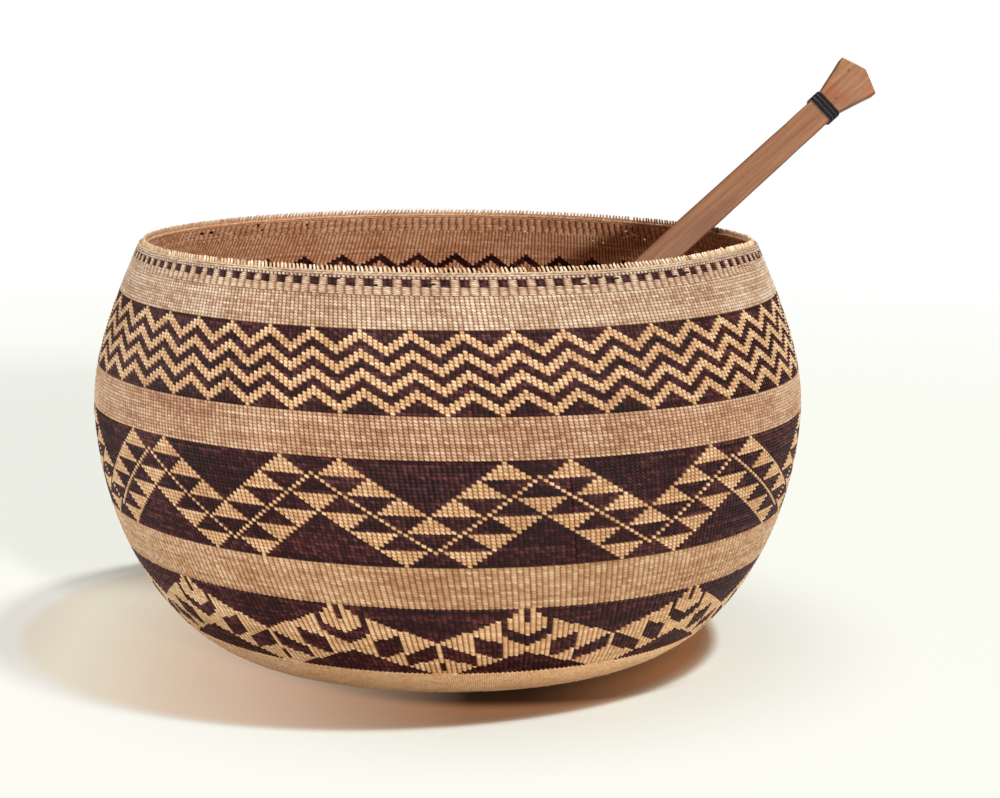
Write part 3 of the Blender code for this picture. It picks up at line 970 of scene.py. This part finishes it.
def cord_ring(name, node, out, material, seed, seam):
    """A cord of two strands round the rim, twisted a whole turn from one warp to the next."""
    rng = np.random.default_rng(seed)
    columns = WARP_COUNT * CORD_STEPS
    warps = np.arange(WARP_COUNT + 1)
    u = np.arange(columns + 1) / CORD_STEPS
    turn = seam - 2.0 * math.pi * np.arange(ROUND_STEPS + 1) / ROUND_STEPS
    u_grid, turn_grid = np.meshgrid(u, turn)
    loose = rng.normal(0.0, CORD_LOOSENESS, WARP_COUNT + 1)
    loose[-1] = loose[0]
    phase = math.pi * CORD_BEADS * u_grid + np.interp(u, warps, loose)
    lobe = np.abs(np.cos(turn_grid - phase)) ** CORD_ROUNDNESS
    reach = 1.0 - CORD_RELIEF * (1.0 - lobe)
    waver = np.interp(u, warps, rng.normal(0.0, UNEVEN_CORD, WARP_COUNT + 1))
    waver[-1] = waver[0]
    across = out + reach * np.cos(turn_grid) * CORD_THICKNESS / 2.0
    height = sum(SPANS[node]) / 2.0 + reach * np.sin(turn_grid) * CORD_TALL / 2.0 + waver
    beads = CORD_BEADS * WARP_COUNT
    strand = (np.floor(CORD_BEADS * u_grid - turn_grid / math.pi + 0.5).astype(int) % beads)[:-1, :-1]
    sheet(
        name,
        node,
        wall_points(WARP_ANGLE(u), height, across),
        {
            "OFBake": folded_uv(columns, ROUND_STEPS, 2.0 * math.pi * RIM_RADIUS, math.pi * CORD_THICKNESS),
            "fibre": corner_values(u_grid * FIBRE_PER_WARP, turn_grid * 0.0008 + u_grid * 0.0012),
        },
        unpatterned(0.15 + 0.7 * rng.random(beads)[strand]),
        {"crown": 0.05 + 0.95 * lobe},
        material,
    )


def build_warp_tips():
    """The cut ends of the warps above the cords, no two quite alike."""
    rng = np.random.default_rng(91)
    count = WARP_COUNT
    theta = WARP_ANGLE(np.arange(count) + 0.5) + rng.normal(0.0, 0.025, count)
    low, high = SPANS["warp_tips"]
    top = high + rng.normal(0.0, UNEVEN_TIP, count)
    broken = rng.random(count) < BROKEN_TIPS
    top = np.where(broken, top - rng.uniform(*BROKEN_OFF, count), top)
    missing = rng.random(count) < MISSING_TIPS
    top = np.where(missing, low + 0.0004, top)
    bottom = low - 2.0 * CORD_HEIGHT
    share = np.linspace(0.0, 1.0, len(TIP_TAPER))
    arc = bottom + (top[:, None] - bottom) * share
    lean = (rng.normal(0.0, 0.06, count) - TIP_LEAN)[:, None] * share ** 2
    out = -0.5 * WALL + rng.normal(0.0, UNEVEN_TIP, count)[:, None]
    out = out + rng.normal(0.0, 0.0001, count)[:, None] * share
    centres, sides, outs = wall_frame(theta[:, None] + lean, arc, out)
    radii = (WARP_RADIUS * rng.uniform(0.90, 1.06, count))[:, None] * np.array(TIP_TAPER)
    tone = rng.uniform(0.35, 1.0, count)
    # Painted shade: tips round these angles get a darker tone
    for centre, half, depth in SHADED_TIPS:
        tone = tone * (1.0 - depth * np.exp(-0.5 * ((theta % 360.0 - centre) / half) ** 2))
    piece = rods("warp_tips_cut", centres, sides, -outs, radii, rng.uniform(0.0, 0.9, count), tone)
    hand_over(piece, "warp_tips")


def build_rim_filling():
    """Wefts that fill the wall between its faces, seen between the warp ends."""
    rng = np.random.default_rng(92)
    columns = WARP_COUNT * FILLING_STEPS
    u = np.arange(columns + 1) / FILLING_STEPS
    u_grid, share = np.meshgrid(u, np.linspace(0.0, 1.0, FILLING_ROWS + 1))
    bumps = np.abs(np.sin(math.pi * u_grid)) * np.sin(math.pi * share) ** 0.5
    rough = rng.normal(0.0, 0.00012, u_grid.shape)
    rough[:, -1] = rough[:, 0]
    arc = SPANS["warp_tips"][0] - FILLING_DEPTH + FILLING_RISE * bumps + rough
    out = -FILLING_INSET - (WALL - 2.0 * FILLING_INSET) * share
    sheet(
        "rim_filling",
        "warp_tips",
        wall_points(WARP_ANGLE(u_grid), arc, out),
        {
            "OFBake": folded_uv(columns, FILLING_ROWS, 2.0 * math.pi * RIM_RADIUS, WALL),
            "fibre": corner_values(u_grid * FIBRE_PER_WARP, share * WALL),
        },
        unpatterned(rng.random((FILLING_ROWS, columns))),
        {"crown": 0.2 + 0.5 * bumps},
        "inner_weft",
        flip=True,
    )


def build_loose_ends():
    """Ends of weft left standing inside below the rim, each bent in a shallow curve."""
    rng = np.random.default_rng(93)
    count = LOOSE_ENDS
    theta = rng.uniform(95.0, 265.0, count)
    theta[::5] = rng.uniform(-95.0, 95.0, len(theta[::5]))
    middle = SPANS["check_band"][1] - rng.triangular(0.0005, 0.006, 0.023, count)
    half = rng.uniform(0.0009, 0.0020, count)
    bend = rng.uniform(0.0003, 0.0013, count)
    slope = rng.normal(-0.10, 0.30, count)
    share = np.linspace(-1.0, 1.0, LOOSE_END_RINGS)
    span = half[:, None] * share
    angle = theta[:, None] + np.degrees(span / RIM_RADIUS)
    arc = middle[:, None] + slope[:, None] * span + bend[:, None] * share ** 2
    stand = 0.00045 + rng.uniform(0.0, 0.0008, count)[:, None] * np.maximum(share, 0.0) ** 2
    point, _, outward = wall_frame(angle, arc, -WALL - stand)
    along = unit(np.gradient(point, axis=1))
    across = unit(np.cross(along, outward))
    swell = np.sin(math.pi * np.linspace(0.12, 0.80, LOOSE_END_RINGS))
    radii = LOOSE_END_RADIUS * swell * rng.uniform(0.7, 1.2, (count, 1))
    tilt = rng.uniform(0.0, 0.5, count)
    tone = rng.uniform(0.15, 0.75, count)
    piece = rods("loose_weft_ends", point, np.cross(across, along), across, radii, tilt, tone, 6)
    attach(piece, "basket")


def build_rim():
    for number, node in enumerate(("rim_cord_lower", "rim_cord_upper")):
        outside = CORD_PROUD - CORD_THICKNESS / 2.0
        cord_ring(node + "_twist", node, outside, "rim_cord_weft", 80 + number, math.pi)
        cord_ring(node + "_inside_twist", node, CORD_THICKNESS / 2.0 - WALL, "inner_weft", 84 + number, 0.0)
    build_warp_tips()
    build_rim_filling()
    build_loose_ends()


# Base


def build_base():
    """The flat underside and its inner face: courses round a start knot of crossed warps."""
    for seed, (node, columns, rows, look, material) in enumerate((
        ("base_outer_courses", 188, 32, BASE_LOOK, "base_weft"),
        ("base_cord_course", 124, 2, BASE_CORD_LOOK, "base_cord_weft"),
        ("base_centre_courses", 94, 22, BASE_LOOK, "base_weft"),
    )):
        angle = even_angle(columns, BASE_TURN)
        weave(node + "_weave", node, columns, rows, angle, look, material, seed=60 + seed)
        weave(node + "_inside", node, columns, rows, angle, BASE_INNER_LOOK, "inner_weft",
              side=-1, seed=64 + seed)
    start_knot("base_start_knot_weave", 1)
    start_knot("base_start_knot_inside", -1)


def start_knot(name, side):
    """Warps crossed over and under each other, twined round with a few close courses."""
    share = np.linspace(-1.0, 1.0, KNOT_STEPS)
    a, b = np.meshgrid(share, share)
    x = KNOT_RADIUS * a * np.sqrt(1.0 - 0.5 * b * b)
    y = KNOT_RADIUS * b * np.sqrt(1.0 - 0.5 * a * a)
    radius = np.hypot(x, y)
    crossed = radius < 0.5 * KNOT_RADIUS
    theta = np.degrees(np.arctan2(x, -y))
    over = (np.floor(x / KNOT_WARP_PITCH) + np.floor(y / KNOT_WARP_PITCH)) % 2.0
    plait = np.abs(np.sin(np.pi * np.where(over > 0.5, x, y) / KNOT_WARP_PITCH)) ** 0.6
    rounds = np.abs(np.sin(np.pi * radius / KNOT_COURSE_PITCH)) ** 0.6
    ribs = np.abs(np.sin(np.radians(theta) * 24.0)) ** 0.6
    crown = np.where(crossed, plait, 0.5 * rounds + 0.5 * ribs)
    out = -KNOT_RELIEF * (1.0 - crown)
    uv = corner_values(0.5 + 0.49 * a, 0.5 + 0.49 * b)
    sheet(
        name,
        "base_start_knot",
        wall_points(theta, radius - FOOT_RADIUS, out if side > 0 else -WALL - out),
        {"OFBake": uv, "fibre": uv * KNOT_RADIUS * 2.0},
        unpatterned(np.where(crossed, 0.25 + 0.5 * over, 0.5)[:-1, :-1]),
        {"crown": crown},
        "start_knot_weft",
        flip=side < 0,
    )


# Paddle


def smooth_curve(place, places, values):
    """A curve through the given values that doesn't overshoot them."""
    places = np.asarray(places, dtype=float)
    values = np.asarray(values, dtype=float)
    steps = np.diff(places)
    slopes = np.diff(values) / steps
    bends = np.zeros(len(places))
    same = slopes[:-1] * slopes[1:] > 0.0
    harmonic = np.zeros(len(slopes) - 1)
    harmonic[same] = 2.0 * slopes[:-1][same] * slopes[1:][same] / (slopes[:-1] + slopes[1:])[same]
    bends[1:-1] = harmonic
    bends[0] = slopes[0]
    index = np.clip(np.searchsorted(places, place, side="right") - 1, 0, len(steps) - 1)
    t = (place - places[index]) / steps[index]
    start = values[index]
    end = values[index + 1]
    return (
        start * (1.0 + 2.0 * t) * (1.0 - t) ** 2
        + end * t * t * (3.0 - 2.0 * t)
        + steps[index] * bends[index] * t * (1.0 - t) ** 2
        + steps[index] * bends[index + 1] * t * t * (t - 1.0)
    )


def lean_axes():
    """Directions along the paddle, across its width and out of its face, as in the CAD model."""
    along = Vector((
        math.cos(LEAN_AZIMUTH) * math.cos(LEAN_ELEVATION),
        math.sin(LEAN_AZIMUTH) * math.cos(LEAN_ELEVATION),
        math.sin(LEAN_ELEVATION),
    ))
    upward = Vector((0.0, 0.0, 1.0))
    upward = (upward - along * upward.dot(along)).normalized()
    sideways = along.cross(upward)
    face = upward * math.cos(FACE_ROLL) + sideways * math.sin(FACE_ROLL)
    return np.array((along, face.cross(along), face))


def paddle_seat():
    """Where the paddle's blade end lies, from the CAD model's own paddle."""
    vertices = frame["nodes"]["paddle"].data.vertices
    points = np.empty(len(vertices) * 3)
    vertices.foreach_get("co", points)
    local = points.reshape(-1, 3) @ lean_axes().T
    middle = (local.min(axis=0) + local.max(axis=0)) / 2.0
    return np.array((local[:, 0].min(), middle[1], middle[2])) @ lean_axes()


def paddle_stations():
    """Width and thickness at many places along the paddle, from its blade's end to its pommel's point."""
    stops = [
        (place * BLADE_LENGTH, width * BLADE_WIDTH, thickness * BLADE_THICKNESS)
        for place, width, thickness in BLADE_OUTLINE
    ]
    start = stops[-1][1]
    for place, share in SHOULDER_OUTLINE:
        width = start + share * (SHAFT_WIDTH - start)
        depth = BLADE_THICKNESS + share * (SHAFT_THICKNESS - BLADE_THICKNESS)
        stops.append((BLADE_LENGTH + place * BLADE_SHOULDER, width, depth))
    rings_start = NECK_END - RING_COUNT * (RING_WIDTH + GAP) - GAP
    stops.append(((stops[-1][0] + rings_start) / 2.0, SHAFT_WIDTH, SHAFT_THICKNESS))
    stops += [(place, NECK_WIDTH, NECK_THICKNESS) for place in (rings_start, NECK_END)]
    places, widths, depths = zip(*stops)
    spots = np.concatenate((
        np.linspace(0.0, 0.012, 10)[:-1],
        np.linspace(0.012, SHOULDER_END, 90)[:-1],
        np.linspace(SHOULDER_END, NECK_END, 110),
    ))
    rise = np.linspace(0.0, 1.0, 22)[1:]
    fall = np.linspace(0.0, 1.0, 12)[1:]
    flare = PADDLE_LENGTH - POMMEL_GABLE
    wide = np.concatenate((
        smooth_curve(spots, places, widths),
        NECK_WIDTH + (POMMEL_WIDTH - NECK_WIDTH) * rise,
        POMMEL_WIDTH + (POMMEL_APEX_WIDTH - POMMEL_WIDTH) * fall,
    ))
    deep = np.concatenate((
        smooth_curve(spots, places, depths),
        NECK_THICKNESS + (POMMEL_THICKNESS - NECK_THICKNESS) * rise,
        POMMEL_THICKNESS * (1.0 - 0.12 * fall ** 3),
    ))
    spots = np.concatenate((spots, NECK_END + rise * (flare - NECK_END), flare + fall * POMMEL_GABLE))
    return spots, wide, deep


def section_round(half_width, half_depth, edge, points):
    """A flat section with rounded edges, the same distance of rounding however wide it is."""
    per_side = points // 4
    radius = np.minimum(edge, np.minimum(half_width, half_depth) * 0.98)
    section = np.empty((2, *half_width.shape, points))
    corners = ((1, 1), (-1, 1), (-1, -1), (1, -1))
    for index in range(points):
        side, step = divmod(index, per_side)
        turn = math.pi / 2.0 * (side + min(1.0, step / (per_side * ROUND_SHARE)))
        straight = max(0.0, (step - per_side * ROUND_SHARE) / (per_side * (1.0 - ROUND_SHARE)))
        for axis, (half, bend) in enumerate(((half_width, math.cos(turn)), (half_depth, math.sin(turn)))):
            here = corners[side][axis]
            centre = here + (corners[(side + 1) % 4][axis] - here) * straight
            section[axis, ..., index] = centre * (half - radius) + radius * bend
    return section


def paddle_sheet(name, node, local, bake, values, material):
    """A sheet closed round the paddle, from sections given along, across and out of its face."""
    points = local @ lean_axes() + paddle_seat()
    sheet(name, node, points, {"OFBake": bake}, {}, values, material, flip=True, body="paddle")


def build_paddle():
    spots, wide, deep = paddle_stations()
    rng = np.random.default_rng(95)
    places = (0.0, BLADE_LENGTH, SHOULDER_END)
    knife = np.interp(spots, places, EDGE_ROUNDING)
    waver = np.interp(spots, np.linspace(0.0, PADDLE_LENGTH, 40), rng.normal(0.0, UNEVEN_WIDTH, 40))
    facets = np.interp(spots, np.linspace(0.0, PADDLE_LENGTH, 60), rng.normal(0.0, UNEVEN_FACE, 60))
    across, up = section_round(wide / 2.0 + waver, deep / 2.0 + facets, knife, PADDLE_POINTS)
    swell = np.interp(spots, places, FACE_SWELL)
    up = up + np.sign(up) * swell[:, None] * (1.0 - (across / (wide[:, None] / 2.0 + 0.0003)) ** 2)
    local = np.stack((np.broadcast_to(spots[:, None], across.shape), across, up), axis=-1)
    first = [local[0] * (1.0, share, share) for share in (0.0, 0.5, 0.85)]
    last = [local[-1] * (1.0, share, share) for share in (0.8, 0.4, 0.0)]
    local = np.concatenate((first, local, last))
    local = np.concatenate((local, local[:, :1]), axis=1)
    stations = len(local) - 1
    half = stations // 2
    u_grid, v_grid = np.meshgrid(np.arange(PADDLE_POINTS + 1) / PADDLE_POINTS, np.arange(stations + 1))
    bake = corner_values(0.01 + 0.47 * u_grid, v_grid)
    bake[half:, :, :, 0] += 0.51
    bake[half:, :, :, 1] -= half
    bake[:, :, :, 1] = 0.01 + 0.98 * bake[:, :, :, 1] / (stations - half)
    reach = np.abs(local[:, :, 1])
    edge = np.clip(1.0 - (reach.max(axis=1, keepdims=True) - reach) / DARK_SIDE_REACH, 0.0, 1.0)
    paddle_sheet("carved_paddle", "paddle", local, bake, {"edge": edge, "grain": local}, "carved_wood")
    for number in range(RING_COUNT):
        neck_ring(number)


def neck_ring(number):
    """One turn of the black band, close against the next."""
    high = NECK_END - GAP - number * (RING_WIDTH + GAP)
    low = high - RING_WIDTH - GAP * 0.9
    place = np.concatenate(([0.03, 0.0, 0.03], np.linspace(0.07, 0.93, 19), [0.97, 1.0, 0.97]))
    bulge = 0.40 + 0.60 * np.sin(math.pi * np.linspace(0.0, 1.0, 19)) ** 0.6
    reach = np.concatenate(([0.0, 0.20, 0.34], bulge, [0.34, 0.20, 0.0]))
    grow = GAP * 0.6 + reach * (RING_THICKNESS + GAP * 0.4)
    half_width = NECK_WIDTH / 2.0 + grow
    half_depth = NECK_THICKNESS / 2.0 + grow
    across, up = section_round(half_width, half_depth, RING_EDGE + grow, RING_POINTS)
    turn = np.arange(RING_POINTS) / RING_POINTS
    spiral = RING_SPIRAL * np.sin(2.0 * math.pi * (turn + 0.3 * number))
    local = np.stack(((low + place * (high - low))[:, None] + spiral, across, up), axis=-1)
    local = np.concatenate((local, local[:, :1]), axis=1)
    crown = np.repeat(((reach - 0.38) / 0.6).clip(0.0, 1.0)[:, None], RING_POINTS + 1, axis=1)
    node = "neck_ring_%d" % (number + 1)
    bake = folded_uv(RING_POINTS, len(place) - 1, RING_ROUND, RING_OVER)
    paddle_sheet(node + "_band", node, local, bake, {"crown": crown}, "black_band")


# Camera, lights and floor


def build_camera():
    data = bpy.data.cameras.new("photo_view")
    data.lens = CAMERA_LENS
    data.sensor_width = CAMERA_SENSOR
    camera = bpy.data.objects.new("photo_view", data)
    bpy.context.scene.collection.objects.link(camera)
    forward = from_angles(CAMERA_YAW, -CAMERA_PITCH)
    right = forward.cross(Vector((0.0, 0.0, 1.0))).normalized()
    up = right.cross(forward)
    turned_right = right * math.cos(CAMERA_ROLL) + up * math.sin(CAMERA_ROLL)
    turned_up = up * math.cos(CAMERA_ROLL) - right * math.sin(CAMERA_ROLL)
    turn = Matrix((turned_right, turned_up, -forward)).transposed()
    camera.matrix_world = Matrix.Translation(CAMERA_PLACE) @ turn.to_4x4()
    bpy.context.scene.camera = camera


def from_angles(azimuth, elevation):
    """Direction away from the viewer, at an azimuth to the right and an elevation, in radians."""
    level = math.cos(elevation)
    return Vector((math.sin(azimuth) * level, math.cos(azimuth) * level, math.sin(elevation)))


def sun(name, azimuth, elevation, share, softness, colour):
    """A sun that shines from an azimuth right of the front and gives a share of white on a facing wall."""
    data = bpy.data.lights.new(name, "SUN")
    data.energy = share * math.pi
    data.angle = math.radians(softness)
    data.color = colour
    lamp = bpy.data.objects.new(name, data)
    bpy.context.scene.collection.objects.link(lamp)
    shine = from_angles(math.radians(-azimuth), math.radians(-elevation))
    lamp.matrix_world = shine.to_track_quat("-Z", "Y").to_matrix().to_4x4()
    return lamp


def build_floor():
    """Pale paper that keeps the cast shadow, with painted shadow and painted light added near the object,
    and turns to plain white far from the object.
    """
    bpy.ops.mesh.primitive_plane_add(size=FLOOR_SIZE, location=(0.0, 0.0, FLOOR_DROP))
    floor = bpy.context.object
    floor.name = "floor"
    art = Shading(bpy.data.materials.new("floor_paper"))
    art.nodes.clear()
    place = art.place()
    x = art.add("SeparateXYZ", {"Vector": place}, "X")
    y = art.add("SeparateXYZ", {"Vector": place}, "Y")
    length = art.add("VectorMath", {0: place}, "Value", operation="LENGTH")
    # Painted shadow: the paper is made browner in the core of the shadow and given painted shade darker
    # round the foot
    outside = art.spread(art.distance(place, SHADOW_CORE), SHADOW_CORE_REACH)
    painted_shadow_tint = art.mix(outside, SHADOW_CORE_PAPER, FLOOR_PAPER)
    around = art.spread(art.distance(place, FOOT_SHADE), FOOT_SHADE_REACH, (FOOT_SHADE_DEPTH, 1.0))
    right = art.spread(x, FOOT_SHADE_RIGHT, (FOOT_SHADE_DEPTH, 1.0))
    paper = art.add("BsdfDiffuse", {"Color": art.multiply(painted_shadow_tint, art.math("MAXIMUM", around, right))})
    glowing = art.spread(length, FLOOR_GLOW_REACH, FLOOR_GLOW)
    glow = art.add("Emission", {"Color": FLOOR_GLOW_COLOUR, "Strength": glowing})
    lit = art.add("AddShader", {0: paper, 1: glow})
    # Painted fill light: an emission that lightens the shadow's left, warmer inside its core
    start = PALE_SIDE[0][0]
    end = PALE_SIDE[-1][0]
    along = art.spread(x, (start, end), kind="LINEAR")
    pale, warm = (
        art.ramp(along, [stop for spot, stop in side], [(spot - start) / (end - start) for spot, _ in side])
        for side in (PALE_SIDE, WARM_SIDE)
    )
    share = art.math("MULTIPLY", pale, art.spread(y, PALE_SIDE_BACK, (1.0, 0.0)))
    painted_fill = art.add("Emission", {"Color": art.mix(outside, warm, PALE_SIDE_COLOUR)})
    with_painted_fill = art.add("MixShader", {0: share, 1: lit, 2: painted_fill})
    white = art.add("Emission", {"Color": WHITE})
    faded = art.add("MixShader", {0: art.spread(length, FLOOR_FADE), 1: with_painted_fill, 2: white})
    seen = art.rays("Is Camera Ray", "Is Glossy Ray", "Is Transmission Ray")
    bounce = art.add("BsdfDiffuse", {"Color": FLOOR_BOUNCE})
    art.finish("Material", art.add("MixShader", {0: seen, 1: bounce, 2: faded}))
    floor.data.materials.append(art.owner)


def build_world():
    world = bpy.data.worlds.new("studio")
    bpy.context.scene.world = world
    art = Shading(world)
    art.nodes.clear()
    seen = art.rays("Is Camera Ray", "Is Transmission Ray")
    dim = art.add("Background", {"Color": AMBIENT_COLOUR, "Strength": AMBIENT})
    white = art.add("Background", {"Color": WHITE})
    art.finish("World", art.add("MixShader", {0: seen, 1: dim, 2: white}))


def build_lights():
    """The suns; the fill leaves out the floor and the basket's inside, which lie in shade."""
    left_out = bpy.data.collections.new("no_fill")
    for piece in bpy.context.scene.objects:
        if piece.name == "floor" or "_inside" in piece.name:
            left_out.objects.link(piece)
    for item in left_out.collection_objects:
        item.light_linking.link_state = "EXCLUDE"
    for name, azimuth, elevation, share, softness, colour in SUNS:
        lamp = sun(name, azimuth, elevation, share, softness, colour)
        if name == FILL:
            lamp.light_linking.receiver_collection = left_out


build_camera()
build_materials()
build_bands()
build_rim()
build_base()
build_paddle()
build_floor()
build_world()
build_lights()

view = bpy.context.scene.view_settings
view.view_transform = "Standard"
